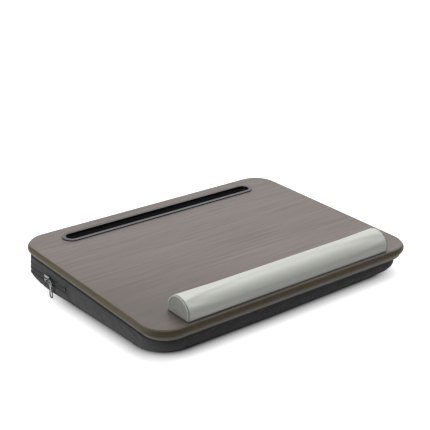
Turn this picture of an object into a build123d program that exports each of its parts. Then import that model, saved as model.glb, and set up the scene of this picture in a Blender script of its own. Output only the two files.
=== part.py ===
"""Cushioned lap desk: a tilted board with a device slot and a padded wrist rest,
held by hook and loop strips on a wedge cushion whose cover has a zip at the rear.

World frame: millimetres, X to the right, Y to the rear, Z up, floor at zero.
Board frame: the same axes with the origin in the middle of the edge band, then
tilted about X so that the rear is higher and lifted by board_rise.
"""
import os

from build123d import *

# Board: overall plan, layers and attitude
board_width = 546.0
board_depth = 421.0
board_corner_radius = 45.0
board_tilt = 3.2
board_rise = 58.4
laminate_thickness = 0.8
band_height = 13.0
band_crown = 4.0
band_wall = 1.5
band_tongue_length = 8.0
band_tongue_thickness = 2.0
groove_clearance = 0.2
base_thickness = 6.0
base_front_inset = 1.5
base_side_inset = 4.0
base_rear_inset = 2.0
base_edge_radius = 1.2

# Device slot near the rear edge
slot_side_margin = 70.0
slot_rear_margin = 42.0
slot_width = 23.5
bezel_width = 6.5
bezel_height = 2.4
bezel_edge_radius = 0.6
bezel_skirt_depth = 3.0
bezel_skirt_wall = 1.2
liner_floor = 1.5
slot_clearance = 0.3

# Wrist rest along the front edge
rest_side_margin = 62.0
rest_depth = 54.0
rest_height = 34.0
rest_front_side = 16.0
rest_rear_side = 14.0
rest_crown_shift = 3.0
rest_front_margin = 2.5
rest_skin = 1.2
rest_panel_thickness = 1.4
rest_base_thickness = 2.0
rest_tape_thickness = 0.8
rest_tape_width = 10.0
rest_clearance = 0.3

# Cushion: plan, wedge and soft edges
cushion_side_margin = 9.0
cushion_front_margin = 17.5
cushion_rear_margin = 5.0
cushion_front_radius = 40.0
cushion_rear_radius = 26.0
cushion_roll = 20.0
cushion_front_tuck = 50.0
cushion_rear_tuck = 110.0
cushion_top_draw = 2.0
roll_height_shares = (0.0, 0.06, 0.2, 0.45, 0.75)
roll_inset_shares = (0.7, 0.5, 0.27, 0.11, 0.03)
cover_skin = 2.0
foam_clearance = 0.3
top_panel_lip = 4.0
bottom_panel_lip = 8.0

# Hook and loop strips between board and cushion
strip_side_margin = 113.0
strip_edge_margin = 80.0
strip_width = 25.0
strip_count = 3
hook_thickness = 1.3
loop_thickness = 1.3

# Zip round the rear of the cover
zip_height = 29.0
gusset_side_run = 143.5
gusset_tab_width = 6.0
tape_width = 14.0
tape_setback = 0.9
tape_thickness = 1.0
coil_width = 4.4
stop_length = 3.0
stop_thickness = 1.4

# Zip slider, its link and its pull
slider_rear_margin = 78.0
slider_length = 18.0
slider_width = 12.0
slider_plate = 1.8
slider_corner_radius = 3.0
slider_groove_width = 3.0
slider_groove_depth = 0.9
slider_lip = 1.2
slider_clearance = 0.5
crown_span = 6.2
crown_forward = 6.5
crown_reach = 3.1
crown_wire = 1.6
crown_bend = 1.4
link_wire = 1.4
link_end_radius = 1.9
link_straight = 9.0
pull_thickness = 1.4
pull_eye_radius = 4.4
pull_eye_hole = 1.5
pull_eye_play = 3.5
pull_shank_width = 5.0
pull_loop_width = 10.4
pull_loop_length = 14.5
pull_loop_wall = 2.2
pull_floor_gap = 0.5

# One length past every face for cuts
overrun = 10.0

# Levels in the board frame and sizes that follow
band_half = band_height / 2
board_top = band_half + laminate_thickness
base_bottom = -band_half - base_thickness
cushion_top = base_bottom - hook_thickness - loop_thickness
top_width = board_width - 2 * band_crown
top_depth = board_depth - 2 * band_crown
top_corner_radius = board_corner_radius - band_crown
cushion_half = board_width / 2 - cushion_side_margin
cushion_front = -board_depth / 2 + cushion_front_margin
cushion_rear = board_depth / 2 - cushion_rear_margin
gusset_start_y = cushion_rear - gusset_side_run
gusset_zip_y = gusset_start_y + gusset_tab_width
slider_centre_y = cushion_rear - slider_rear_margin
slot_length = board_width - 2 * slot_side_margin
slot_centre_y = top_depth / 2 - slot_rear_margin
rest_length = board_width - 2 * rest_side_margin
board_place = Pos(0, 0, board_rise) * Rot(board_tilt, 0, 0)


def plan(inset):
    """The board's top outline, drawn in by inset all round."""
    return RectangleRounded(top_width - 2 * inset, top_depth - 2 * inset, top_corner_radius - inset)


def stadium(length, width):
    """A slot outline with round ends, centred on the device slot."""
    return Pos(0, slot_centre_y) * SlotOverall(length, width)


def slab(outline, low, high):
    """An outline carried from one level to another."""
    return extrude(Pos(0, 0, low) * outline, high - low)


def room(low, high):
    """A box between two opposite corners."""
    size = Vector(*high) - Vector(*low)
    return Pos((Vector(*low) + Vector(*high)) * 0.5) * Box(size.X, size.Y, size.Z)


# Board layers
slot_cut_length = slot_length + 2 * (bezel_skirt_wall + slot_clearance)
slot_cut_width = slot_width + 2 * (bezel_skirt_wall + slot_clearance)
slot_cut = stadium(slot_cut_length, slot_cut_width)


def top_laminate():
    return slab(plan(0) - slot_cut, band_half, board_top)


def board_core():
    """The core, with the groove for the band's tongue and the slot right through."""
    tongue_room = band_wall + band_tongue_length + groove_clearance
    groove_half = band_tongue_thickness / 2 + groove_clearance
    body = slab(plan(band_wall) - slot_cut, -band_half, band_half)
    return body - slab(plan(band_wall) - plan(tongue_room), -groove_half, groove_half)


def edge_band():
    """A crowned band with a tongue, carried round the top outline."""
    tongue_half = band_tongue_thickness / 2
    tongue_end = -band_wall - band_tongue_length
    crown = ThreePointArc((0, band_half), (band_crown, 0), (0, -band_half))
    back = Polyline(
        (0, -band_half), (-band_wall, -band_half), (-band_wall, -tongue_half), (tongue_end, -tongue_half),
        (tongue_end, tongue_half), (-band_wall, tongue_half), (-band_wall, band_half), (0, band_half))
    section = make_face([crown, *back.edges()])
    start = Plane(origin=(top_width / 2, 0, 0), x_dir=(1, 0, 0), z_dir=(0, -1, 0))
    return sweep(start * section, path=plan(0).face().outer_wire())


def base_panel():
    """The closing panel under the core, with a rounded lower edge."""
    width = top_width - 2 * base_side_inset
    depth = top_depth - base_front_inset - base_rear_inset
    outline = RectangleRounded(width, depth, top_corner_radius - base_side_inset)
    middle = (base_front_inset - base_rear_inset) / 2
    panel = slab(Pos(0, middle) * outline, base_bottom, -band_half)
    return fillet(panel.faces().sort_by(Axis.Z)[0].edges(), base_edge_radius)


# Device slot
def slot_bezel():
    """A flat rim on the board with eased edges and a skirt down into the slot."""
    rim_outline = stadium(slot_length + 2 * bezel_width, slot_width + 2 * bezel_width)
    opening = stadium(slot_length, slot_width)
    rim = slab(rim_outline - opening, board_top, board_top + bezel_height)
    rim = fillet(rim.faces().sort_by(Axis.Z)[-1].edges(), bezel_edge_radius)
    skirt_outline = stadium(slot_length + 2 * bezel_skirt_wall, slot_width + 2 * bezel_skirt_wall)
    return rim + slab(skirt_outline - opening, board_top - bezel_skirt_depth, board_top)


def slot_liner():
    """A trough that stands on the base panel and meets the bezel's skirt."""
    outline = stadium(slot_length + 2 * bezel_skirt_wall, slot_width + 2 * bezel_skirt_wall)
    opening = stadium(slot_length, slot_width)
    floor_top = -band_half + liner_floor
    walls = slab(outline - opening, floor_top, board_top - bezel_skirt_depth)
    return slab(outline, -band_half, floor_top) + walls


# Wrist rest
rest_centre_y = -top_depth / 2 + rest_front_margin + rest_depth / 2
rest_left = -rest_length / 2


def rest_section(inset, floor):
    """The padded D shape across the rest, drawn in by inset and cut off at floor."""
    front = -rest_depth / 2 + inset
    rear = rest_depth / 2 - inset
    front_side = Line((front, floor), (front, rest_front_side))
    top = (-rest_crown_shift, rest_height - inset)
    crown = ThreePointArc((front, rest_front_side), top, (rear, rest_rear_side))
    rear_side = Line((rear, rest_rear_side), (rear, floor))
    return make_face([front_side, crown, rear_side, Line((rear, floor), (front, floor))])


def along_rest(section, start, length):
    """A section across the rest carried along X."""
    face = Plane(origin=(start, rest_centre_y, board_top), x_dir=(0, 1, 0), z_dir=(1, 0, 0)) * section
    return extrude(face, length)


rest_inside = rest_left + rest_panel_thickness
rest_inner_length = rest_length - 2 * rest_panel_thickness
rest_base_level = rest_tape_thickness
rest_foam_level = rest_base_level + rest_base_thickness


def wrist_rest_cover():
    skin = rest_section(0, 0) - rest_section(rest_skin, -overrun)
    return along_rest(skin, rest_inside, rest_inner_length)


def wrist_rest_foam():
    core = rest_section(rest_skin + rest_clearance, rest_foam_level)
    return along_rest(core, rest_inside + rest_clearance, rest_inner_length - 2 * rest_clearance)


def wrist_rest_base():
    half = rest_depth / 2 - rest_skin - rest_clearance
    low = (rest_inside + rest_clearance, rest_centre_y - half, board_top + rest_base_level)
    high = (-rest_inside - rest_clearance, rest_centre_y + half, board_top + rest_foam_level)
    return room(low, high)


def wrist_rest_tape():
    """Two adhesive strips near the long edges of the base."""
    offset = rest_depth / 2 - rest_skin - rest_clearance - rest_tape_width
    strips = []
    for side in (-1, 1):
        middle = rest_centre_y + side * offset
        low = (rest_inside + rest_tape_width, middle - rest_tape_width / 2, board_top)
        high = (-rest_inside - rest_tape_width, middle + rest_tape_width / 2, board_top + rest_base_level)
        strips.append(room(low, high))
    return Compound([strip.solid() for strip in strips])


def wrist_rest_end(start):
    return along_rest(rest_section(0, 0), start, rest_panel_thickness)


# Cushion
def cushion_outline(inset, tuck_share):
    """The cushion's plan, drawn in by inset, with its corners rounded further by a share of the tucks."""
    left = -cushion_half + inset
    right = cushion_half - inset
    front = cushion_front + inset
    rear = cushion_rear - inset
    front_radius = cushion_front_radius - inset + cushion_front_tuck * tuck_share
    rear_radius = cushion_rear_radius - inset + cushion_rear_tuck * tuck_share
    # Each corner: its arc's centre, its radius and the turn from X of the arc's start
    corners = (
        (Vector(right - front_radius, front + front_radius), front_radius, -90),
        (Vector(right - rear_radius, rear - rear_radius), rear_radius, 0),
        (Vector(left + rear_radius, rear - rear_radius), rear_radius, 90),
        (Vector(left + front_radius, front + front_radius), front_radius, 180))
    arcs = [CenterArc(centre, radius, turn, 90) for centre, radius, turn in corners]
    sides = [Line(arc @ 1, following @ 0) for arc, following in zip(arcs, arcs[1:] + arcs[:1])]
    return make_face([edge for pair in zip(arcs, sides) for edge in pair])


def cushion_solid(skin):
    """The wedge cushion inside its cover's outer face by skin: a rolled lower edge, then
    upright sides up to the zip, then the tilted top under the board."""
    roll = cushion_roll - skin
    sections = []
    for height_share, inset_share in zip(roll_height_shares, roll_inset_shares):
        tuck_share = inset_share / max(roll_inset_shares)
        outline = cushion_outline(skin + roll * inset_share, tuck_share)
        sections.append(Pos(0, 0, skin + roll * height_share) * outline)
    for height in (zip_height - tape_width / 2, zip_height):
        sections.append(Pos(0, 0, height) * cushion_outline(skin, 0))
    top = cushion_outline(skin + cushion_top_draw, 0)
    sections.append(board_place * Pos(0, 0, cushion_top - skin) * top)
    return loft(sections, ruled=True)


far = board_width
cushion_body = cushion_solid(0)
cover_shell = cushion_body - cushion_solid(cover_skin)
above_lip = board_place * room((-far, -far, cushion_top - top_panel_lip), (far, far, far))
below_lip = room((-far, -far, -overrun), (far, far, bottom_panel_lip))
side_band = cover_shell - above_lip - below_lip


def rear_room(low, high):
    """The space behind the start of the zip between two heights."""
    return room((-far, gusset_zip_y, low), (far, far, high))


def gusset_tab(side):
    """The upright strip of cloth that covers one end of the zip."""
    corners = sorted((0, side * far))
    return side_band & room((corners[0], gusset_start_y, -overrun), (corners[1], gusset_zip_y, far))


def zip_ring(outer, inner, low, high):
    """A slice of the cover's rear between two depths and two heights."""
    shell = cushion_solid(outer) - cushion_solid(inner)
    return shell & rear_room(low, high)


def end_stops():
    """A block over the chain at each end of the zip."""
    inner = cushion_half + foam_clearance
    blocks = []
    for side in (-1, 1):
        x_pair = sorted((side * inner, side * (inner + stop_thickness)))
        low = (x_pair[0], gusset_zip_y, zip_height - coil_width / 2)
        high = (x_pair[1], gusset_zip_y + stop_length, zip_height + coil_width / 2)
        blocks.append(room(low, high).solid())
    return Compound(blocks)


def strips(low, high):
    """Parallel strips under the board between two levels of the board frame."""
    lanes = []
    reach_x = board_width / 2 - strip_side_margin
    reach_y = board_depth / 2 - strip_edge_margin
    for index in range(strip_count):
        middle = reach_y * (2 * index / (strip_count - 1) - 1)
        lane_low = (-reach_x, middle - strip_width / 2, low)
        lane_high = (reach_x, middle + strip_width / 2, high)
        lanes.append((board_place * room(lane_low, lane_high)).solid())
    return Compound(lanes)


# Zip slider: a grooved plate with lips astride the chain and a crown that holds the link
slider_inner = -cushion_half - slider_clearance
slider_outer = slider_inner - slider_plate
crown_x = slider_outer - crown_reach
crown_y = slider_centre_y - crown_forward


def zip_slider():
    face = Plane(origin=(slider_inner, slider_centre_y, zip_height), x_dir=(0, 1, 0), z_dir=(-1, 0, 0))
    plate = extrude(face * RectangleRounded(slider_length, slider_width, slider_corner_radius), slider_plate)
    groove_floor = slider_outer + slider_groove_depth
    groove_low = (slider_outer, slider_centre_y - slider_length / 2, zip_height - slider_groove_width / 2)
    groove_high = (groove_floor, slider_centre_y + slider_length / 2, zip_height + slider_groove_width / 2)
    plate -= room(groove_low, groove_high)
    lip_gap = coil_width / 2 + slider_clearance
    lip_end = -cushion_half + tape_setback - slider_clearance
    half_run = slider_length / 2 - slider_corner_radius
    for side in (-1, 1):
        z_pair = sorted((zip_height + side * lip_gap, zip_height + side * (lip_gap + slider_lip)))
        low = (slider_inner, slider_centre_y - half_run, z_pair[0])
        high = (lip_end, slider_centre_y + half_run, z_pair[1])
        plate += room(low, high)
    leg_low = zip_height - crown_span / 2
    leg_high = zip_height + crown_span / 2
    route = FilletPolyline(
        (slider_outer, crown_y, leg_low), (crown_x, crown_y, leg_low),
        (crown_x, crown_y, leg_high), (slider_outer, crown_y, leg_high), radius=crown_bend)
    start = Plane(origin=route @ 0, z_dir=route % 0)
    return plate + sweep(start * Circle(crown_wire / 2), path=route)


# Link and pull: the link turns on the crown's upright bar, the pull hangs from its front bend
crown_axis = Vector(crown_x, crown_y, zip_height)
link_bend = crown_axis - Vector(0, link_straight + link_end_radius, 0)
pull_reach = zip_height - pull_floor_gap


def zip_link():
    """A level wire loop with two straight sides and two round ends."""
    frame = Plane(origin=crown_axis, x_dir=(0, -1, 0), z_dir=(0, 0, 1))
    near = CenterArc((0, 0), link_end_radius, 90, 180)
    far_end = CenterArc((link_straight, 0), link_end_radius, -90, 180)
    sides = [Line(near @ 1, far_end @ 0), Line(far_end @ 1, near @ 0)]
    route = frame * Wire([near, sides[0], far_end, sides[1]])
    start = Plane(origin=route @ 0, z_dir=route % 0)
    return sweep(start * Circle(link_wire / 2), path=route)


def zip_pull():
    """A flat tab that hangs straight down: a long eye on the link, a shank and a loop to hold."""
    loop_centre = pull_reach - pull_loop_length / 2
    shank_end = pull_reach - pull_loop_length + pull_loop_wall
    hole_length = pull_loop_length - 2 * pull_loop_wall
    hole_width = pull_loop_width - 2 * pull_loop_wall
    eye = Pos(pull_eye_play / 2, 0) * SlotOverall(pull_eye_play + 2 * pull_eye_radius, 2 * pull_eye_radius)
    eye_hole = Pos(pull_eye_play / 2, 0) * SlotOverall(pull_eye_play + 2 * pull_eye_hole, 2 * pull_eye_hole)
    outline = eye + Pos(loop_centre, 0) * SlotOverall(pull_loop_length, pull_loop_width)
    outline += Pos(shank_end / 2, 0) * Rectangle(shank_end, pull_shank_width)
    outline -= eye_hole
    outline -= Pos(loop_centre, 0) * SlotOverall(hole_length, hole_width)
    frame = Plane(origin=link_bend, x_dir=(0, 0, -1), z_dir=(1, 0, 0))
    return extrude(frame * outline, pull_thickness / 2, both=True)


zip_low = zip_height - tape_width / 2
zip_high = zip_height + tape_width / 2
coil_low = zip_height - coil_width / 2
coil_high = zip_height + coil_width / 2
tape_depth = tape_setback + tape_thickness

nodes = {
    "top_laminate": board_place * top_laminate(),
    "board_core": board_place * board_core(),
    "edge_band": board_place * edge_band(),
    "base_panel": board_place * base_panel(),
    "slot_bezel": board_place * slot_bezel(),
    "slot_liner": board_place * slot_liner(),
    "wrist_rest_cover": board_place * wrist_rest_cover(),
    "wrist_rest_foam": board_place * wrist_rest_foam(),
    "wrist_rest_base": board_place * wrist_rest_base(),
    "wrist_rest_tape": board_place * wrist_rest_tape(),
    "wrist_rest_end_left": board_place * wrist_rest_end(rest_left),
    "wrist_rest_end_right": board_place * wrist_rest_end(-rest_left - rest_panel_thickness),
    "hook_strips": strips(base_bottom - hook_thickness, base_bottom),
    "loop_strips": strips(cushion_top, cushion_top + loop_thickness),
    "cushion_foam": cushion_solid(cover_skin + foam_clearance),
    "cushion_top_panel": cover_shell & above_lip,
    "cushion_bottom_panel": cover_shell & below_lip,
    "cushion_boxing": side_band & room((-far, -far, -overrun), (far, gusset_start_y, far)),
    "gusset_tab_left": gusset_tab(-1),
    "gusset_tab_right": gusset_tab(1),
    "gusset_upper": side_band & rear_room(zip_high, far),
    "gusset_lower": side_band & rear_room(-overrun, zip_low),
    "zip_tape_upper": zip_ring(tape_setback, tape_depth, coil_high, zip_high),
    "zip_tape_lower": zip_ring(tape_setback, tape_depth, zip_low, coil_low),
    "zip_coil_upper": zip_ring(0, cover_skin, zip_height, coil_high),
    "zip_coil_lower": zip_ring(0, cover_skin, coil_low, zip_height),
    "zip_end_stops": end_stops(),
    "zip_slider": zip_slider(),
    "zip_link": zip_link(),
    "zip_pull": zip_pull(),
}

os.makedirs("parts", exist_ok=True)
for name, shape in nodes.items():
    export_step(shape, f"parts/{name}.step")
print("crown axis", crown_axis, "pull axis at", link_bend)
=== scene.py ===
"""Cushioned lap desk: its finishes, soft pieces and zip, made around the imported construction.

Everything is in metres in the frame of the construction: X to the right, Y to the rear,
Z up, and the surface that the desk stands on at zero.
"""
import math

import bpy
import numpy as np
from bpy.props import FloatProperty, FloatVectorProperty, PointerProperty
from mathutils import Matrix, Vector


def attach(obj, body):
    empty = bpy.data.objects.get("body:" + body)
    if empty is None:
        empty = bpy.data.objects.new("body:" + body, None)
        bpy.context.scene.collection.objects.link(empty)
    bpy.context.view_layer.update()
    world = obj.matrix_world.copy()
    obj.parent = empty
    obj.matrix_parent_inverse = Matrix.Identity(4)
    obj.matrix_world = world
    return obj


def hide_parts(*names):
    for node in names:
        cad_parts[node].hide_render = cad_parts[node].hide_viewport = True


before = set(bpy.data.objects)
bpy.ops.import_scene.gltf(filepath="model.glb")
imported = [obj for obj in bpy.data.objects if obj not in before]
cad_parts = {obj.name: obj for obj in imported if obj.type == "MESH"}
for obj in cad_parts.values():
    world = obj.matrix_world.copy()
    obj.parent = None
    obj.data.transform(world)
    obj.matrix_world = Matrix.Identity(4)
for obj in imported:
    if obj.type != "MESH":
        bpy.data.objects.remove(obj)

bl_info = {
    "name": "Cushioned Lap Desk",
    "version": (1, 0, 0),
    "blender": (4, 5, 0),
    "location": "3D View > Sidebar > Lap Desk",
    "description": "Dresses a lap desk: wood-grain board, padded wrist rest, wedge cushion and zip",
    "category": "Object",
}

MM = 0.001
QUARTER = math.pi / 2
TURN = 2 * math.pi
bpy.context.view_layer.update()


# Reading the construction

def node_points(*names):
    """All points of some nodes of the construction, as one array."""
    parts = []
    for name in names:
        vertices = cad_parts[name].data.vertices
        flat = np.empty(len(vertices) * 3, np.float32)
        vertices.foreach_get("co", flat)
        parts.append(flat.reshape(-1, 3).astype(float))
    return np.concatenate(parts)


def plate_normal(points):
    """The upward normal of a flat plate: the direction in which its points spread least."""
    normal = np.linalg.svd(points - points.mean(0), full_matrices=False)[2][2]
    return normal * np.sign(normal[2])


BOARD_UP = plate_normal(node_points("top_laminate"))
BOARD_REAR = np.array([0.0, BOARD_UP[2], -BOARD_UP[1]])
SIDEWAYS = np.array([1.0, 0.0, 0.0])


# Settings that a user would change

def size(name, description, millimetres):
    """A length setting, written in millimetres and kept in metres."""
    return FloatProperty(name=name, description=description, default=millimetres * MM,
                         subtype="DISTANCE", unit="LENGTH", precision=5)


def colour(name, description, red, green, blue):
    """A colour setting, written as it looks on a screen from 0 to 255 and kept linear."""
    screen = np.array([red, green, blue]) / 255
    linear = np.where(screen <= 0.04045, screen / 12.92, ((screen + 0.055) / 1.055) ** 2.4)
    return FloatVectorProperty(name=name, description=description, default=tuple(linear),
                               subtype="COLOR", size=3, min=0, max=1)


def place(name, description, x, y, z):
    """A place setting in metres."""
    return FloatVectorProperty(name=name, description=description, default=(x, y, z),
                               subtype="XYZ_LENGTH", unit="LENGTH", size=3)


def amount(name, description, default, unit="NONE", least=0, most=1000):
    """A plain number setting: a share, a strength, a power or a length of the camera."""
    return FloatProperty(name=name, description=description, default=default, unit=unit,
                         min=least, max=most)


class LapDeskBoard(bpy.types.PropertyGroup):
    """Colours of the board and of the device slot, with painted light and shade on them, and where a painted
    shadow darkens the wood print towards the front left.
    """
    grain_light: colour("Light grain", "Palest streaks of the wood print", 125, 116, 111)
    grain_middle: colour("Middle grain", "Ground colour of the wood print", 112, 103, 98)
    grain_dark: colour("Dark grain", "Darkest streaks of the wood print", 94, 85, 79)
    # painted shadow: from these distances to the front left the wood print is darkened, as shade falls there
    painted_shadow_start: size("Deepening start", "Distance to the front left at which the print deepens", 60)
    painted_shadow_end: size("Deepening end", "Distance to the front left at which the print is deepest", 220)
    band: colour("Edge band", "Plastic band round the board", 75, 66, 47)
    band_dark: colour("Edge band grain", "Darker lines along the band", 63, 54, 36)
    # painted highlight: the pale line along the top of the band
    band_highlight: colour("Edge band rim", "Pale line along the top of the band", 140, 133, 117)
    base: colour("Base panel", "Closing panel below the board", 95, 91, 83)
    core: colour("Core", "Fibreboard inside the board", 150, 126, 96)
    rim: colour("Slot rim", "Black plastic rim of the device slot", 20, 20, 22)
    # painted light: the rim's top face is lighter where light falls on it
    rim_lit_top: colour("Slot rim top", "Greyer top face of the rim", 70, 68, 74)
    liner: colour("Slot liner", "Matt trough of the device slot", 9, 9, 10)


class LapDeskRest(bpy.types.PropertyGroup):
    """Shape and colours of the wrist rest."""
    leather: colour("Leather", "Smooth pale leather cloth", 197, 199, 191)
    # painted shade: the colour of shade in the seams, at the welt and along the board
    painted_shade: colour("Crease", "Leather in the depth of a seam", 34, 35, 31)
    softness: size("Softness", "How far the corners of the section are rounded", 1.3)
    end_roll: size("End roll", "Rounding where the ends meet the cover", 1.0)
    end_swell: size("End swell", "How far the middle of an end stands out", 0.7)
    welt_swell: size("Welt swell", "How far the welt round an end stands out", 0.6)
    welt_share: amount("Welt share", "Size of an end panel inside its welt", 0.86, least=0.5, most=0.98)
    # painted shade: the end panels are darkened as shade on the faces turned to the left
    panel_painted_shade: amount("Panel shade", "How much darker the end panels are", 0.53, most=1)
    seam_inset: size("Seam inset", "Distance of the sewn seam from each end", 1.4)
    seam_depth: size("Seam depth", "Depth of the sewn seam", 0.75)
    seam_width: size("Seam width", "Half width of the sewn seam", 0.9)
    swell_limit: size("Swell limit", "Furthest that the padding moves the cover", 1.3)
    start_inset: size("Start inset", "How much smaller the cover is before it swells", 0.5)


class LapDeskCushion(bpy.types.PropertyGroup):
    """Shape and colours of the cushion."""
    fabric: colour("Fabric", "Charcoal woven cloth", 80, 80, 82)
    fabric_dark: colour("Dark yarn", "Darker yarns of the cloth", 60, 60, 62)
    thread: colour("Thread", "Sewing thread", 58, 58, 59)
    front_radius: size("Front corner", "Plan radius of the front corners", 40)
    rear_radius: size("Rear corner", "Plan radius of the rear corners", 21)
    roll_height: size("Roll height", "Height of the rolled lower edge", 20)
    roll_inset: size("Roll inset", "How far the flat underside lies inside the sides", 14)
    front_tuck: size("Front tuck", "How much wider the front corners are rounded at the underside", 50)
    rear_tuck: size("Rear tuck", "How much wider the rear corners are rounded at the underside", 122)
    tuck_height: size("Tuck height", "Height below which the corners are drawn in", 24)
    corner_lift: size("Corner lift", "How far the lower edge is raised at the front right corner", 5.5)
    lift_reach: size("Lift reach", "Distance from the corner over which the raised edge comes down", 150)
    top_draw: size("Top draw", "How far the sides lean in towards the top", 2)
    top_roll: size("Top roll", "Rounding of the upper edge", 6)
    # painted shade: the dark upper edge stands for shade in the gap under the board
    top_shadow_height: size("Top edge", "Height of the dark upper edge under the board", 5.2)
    swell_limit: size("Swell limit", "Furthest that the filling moves the cloth", 2.4)
    zip_recess: size("Zip recess", "Depth of the recess that the zip lies in", 2.2)
    fold_height: size("Fold height", "Height of the fold of cloth beside the zip", 0.45)
    pucker: size("Pucker", "Height of the small gathers along a seam", 0.35)
    gather_length: size("Gather length", "Distance between gathers", 11)
    gather_drift: size("Gather drift", "Distance over which the gathers crowd and spread", 73)
    gather_reach: size("Gather reach", "How far the gathers reach from the seam", 5)
    seam_height: size("Seam height", "Height of the seam between side and underside", 8)
    seam_depth: size("Seam depth", "Depth of a sewn seam", 0.8)
    seam_width: size("Seam width", "Half width of a sewn seam", 0.6)
    weave: size("Weave", "Distance between yarns", 0.9)


class LapDeskZip(bpy.types.PropertyGroup):
    """Shape and colours of the zip."""
    tape: colour("Tape", "Woven tape", 44, 44, 45)
    nylon: colour("Nylon", "Coil of the zip", 54, 54, 56)
    metal: colour("Metal", "Plated slider and pull", 138, 138, 139)
    # also the colour of the painted shade in the slider's groove
    metal_dark: colour("Dark metal", "Darkened link, end stops, groove and tip of the pull", 34, 34, 35)
    tip_height: size("Tip height", "Height up to which the tip of the pull is darkened", 15)
    # width of the painted shade in the slider's groove
    groove_width: size("Groove width", "Width of the dark groove along the slider", 3.2)
    tooth_pitch: size("Tooth pitch", "Distance between teeth of one row", 1.25)
    tooth_wire: size("Tooth wire", "Thickness of a tooth", 0.62)
    tape_gap: size("Tape gap", "Room between the tape and the cloth beside it", 0.3)
    stitch_length: size("Stitch length", "Length of one stitch", 2.6)
    stitch_pitch: size("Stitch pitch", "Distance between stitches", 3.4)
    stitch_wire: size("Stitch thread", "Thickness of the thread", 0.5)
    stitch_inset: size("Stitch inset", "Distance of the stitches from the edge of the cloth", 2.2)


class LapDeskStage(bpy.types.PropertyGroup):
    """Camera, light and floor."""
    camera_place: place("Camera place", "Where the camera stands", -1.01916, -1.33749, 0.74949)
    camera_turn: FloatVectorProperty(
        name="Camera turn", description="How the camera is turned", subtype="EULER",
        default=tuple(math.radians(angle) for angle in (69.3346, 1.2266, -37.7124)))
    lens: amount("Lens", "Focal length", 87.5, unit="CAMERA")
    sensor: amount("Sensor", "Width of the sensor", 36, unit="CAMERA")
    ambient: amount("Ambient", "Light from all round", 0.12)
    overhead: amount("Overhead", "Power of the light above", 30, unit="POWER")
    overhead_place: place("Overhead place", "Where the light above stands", 0.35, 0.1, 1.7)
    overhead_width: size("Overhead width", "Width of the light above", 1600)
    overhead_aim: size("Overhead aim", "Height of the point that the light above faces", 30)
    left: amount("Left", "Power of the light at the left", 13, unit="POWER")
    left_place: place("Left place", "Where the light at the left stands", -1.7, 0.25, 0.75)
    left_width: size("Left width", "Width of the light at the left", 1100)
    left_aim: size("Left aim", "Height of the point that the light at the left faces", 50)
    floor: colour("Floor", "Pale floor", 188, 188, 188)
    floor_reach: size("Floor reach", "Half width of the floor", 6000)
    floor_drop: size("Floor drop", "How far the floor lies below the desk", 0.4)
    floor_lift: amount("Floor lift", "Light added to the floor as it is seen", 0.95, most=1)
    # contact and shadow_reach shape a painted shadow: the light added to the floor fades out towards the
    # cushion
    contact: size("Contact", "How far beyond the underside the shadow is darkest", 2.5)
    shadow_reach: size("Shadow reach", "How far the shadow shows beyond the underside", 66)
    far_start: size("Far start", "Distance from the desk at which the floor starts to whiten", 100)
    far_end: size("Far end", "Distance from the desk at which the floor is white", 700)
    far_lift: amount("Far lift", "Light added to the floor far from the desk", 0.5, most=1)


class LapDesk(bpy.types.PropertyGroup):
    """All settings of the lap desk."""
    board: PointerProperty(type=LapDeskBoard)
    rest: PointerProperty(type=LapDeskRest)
    cushion: PointerProperty(type=LapDeskCushion)
    zip: PointerProperty(type=LapDeskZip)
    stage: PointerProperty(type=LapDeskStage)


def settings():
    """The settings kept with the scene."""
    return bpy.context.scene.lap_desk


# Shader expressions

class Value:
    """A socket of a node tree, used like a number: arithmetic on it adds Math nodes."""

    def __init__(self, tree, socket=None):
        self.tree = tree
        self.socket = socket

    def node(self, kind, sockets=None, out=0, stops=None, **options):
        """Add a node of a kind: its options first, then the positions and colours of a colour ramp, then
        the values or links of its sockets. What comes back is the output with the number out."""
        made = self.tree.nodes.new("ShaderNode" + kind)
        for name, option in options.items():
            setattr(made, name, option)
        if stops:
            made.color_ramp.elements[1].position = 1.0
            while len(made.color_ramp.elements) < len(stops):
                made.color_ramp.elements.new(1.0)
            for element, (position, tone) in zip(made.color_ramp.elements, stops):
                element.position = position
                element.color = (*tone, 1.0)
        for key, given in (sockets or {}).items():
            if isinstance(given, Value):
                self.tree.links.new(given.socket, made.inputs[key])
            else:
                made.inputs[key].default_value = given
        return Value(self.tree, made.outputs[out] if made.outputs else None)

    def math(self, operation, first, second=0.0):
        """Add a Math node for one or two values."""
        return self.node("Math", {0: first, 1: second}, operation=operation)

    def __add__(self, other):
        return self.math("ADD", self, other)

    def __sub__(self, other):
        return self.math("SUBTRACT", self, other)

    def __rsub__(self, other):
        return self.math("SUBTRACT", other, self)

    def __mul__(self, other):
        return self.math("MULTIPLY", self, other)

    def __gt__(self, other):
        return self.math("GREATER_THAN", self, other)

    __radd__ = __add__
    __rmul__ = __mul__


def coordinate(start, name):
    """A surface's own coordinates: Object, or UV where a pattern follows the cloth."""
    return start.node("TexCoord", out={"UV": 2, "Object": 3}[name])


def component(start, where, number):
    """One coordinate of a place: number 0, 1 or 2 for X, Y or Z."""
    return start.node("SeparateXYZ", {0: where}, out=number)


def distance_along(start, where, direction):
    """How far a place lies along a direction from the origin."""
    return start.node("VectorMath", {0: where, 1: tuple(direction)}, out=1, operation="DOT_PRODUCT")


def depth_below(start, where, node):
    """How far a place lies below the top of a node of the construction, along the board's normal."""
    top = (node_points(node) @ BOARD_UP).max()
    return float(top) - distance_along(start, where, BOARD_UP)


def mark(start, name):
    """A named value kept at the points of a mesh."""
    return start.node("Attribute", out=2, attribute_name=name)


def ramp(start, value, low, high):
    """0 where a value is at low, 1 where it is at high, straight between and steady beyond."""
    return start.node("MapRange", {"Value": value, "From Min": low, "From Max": high})


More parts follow.
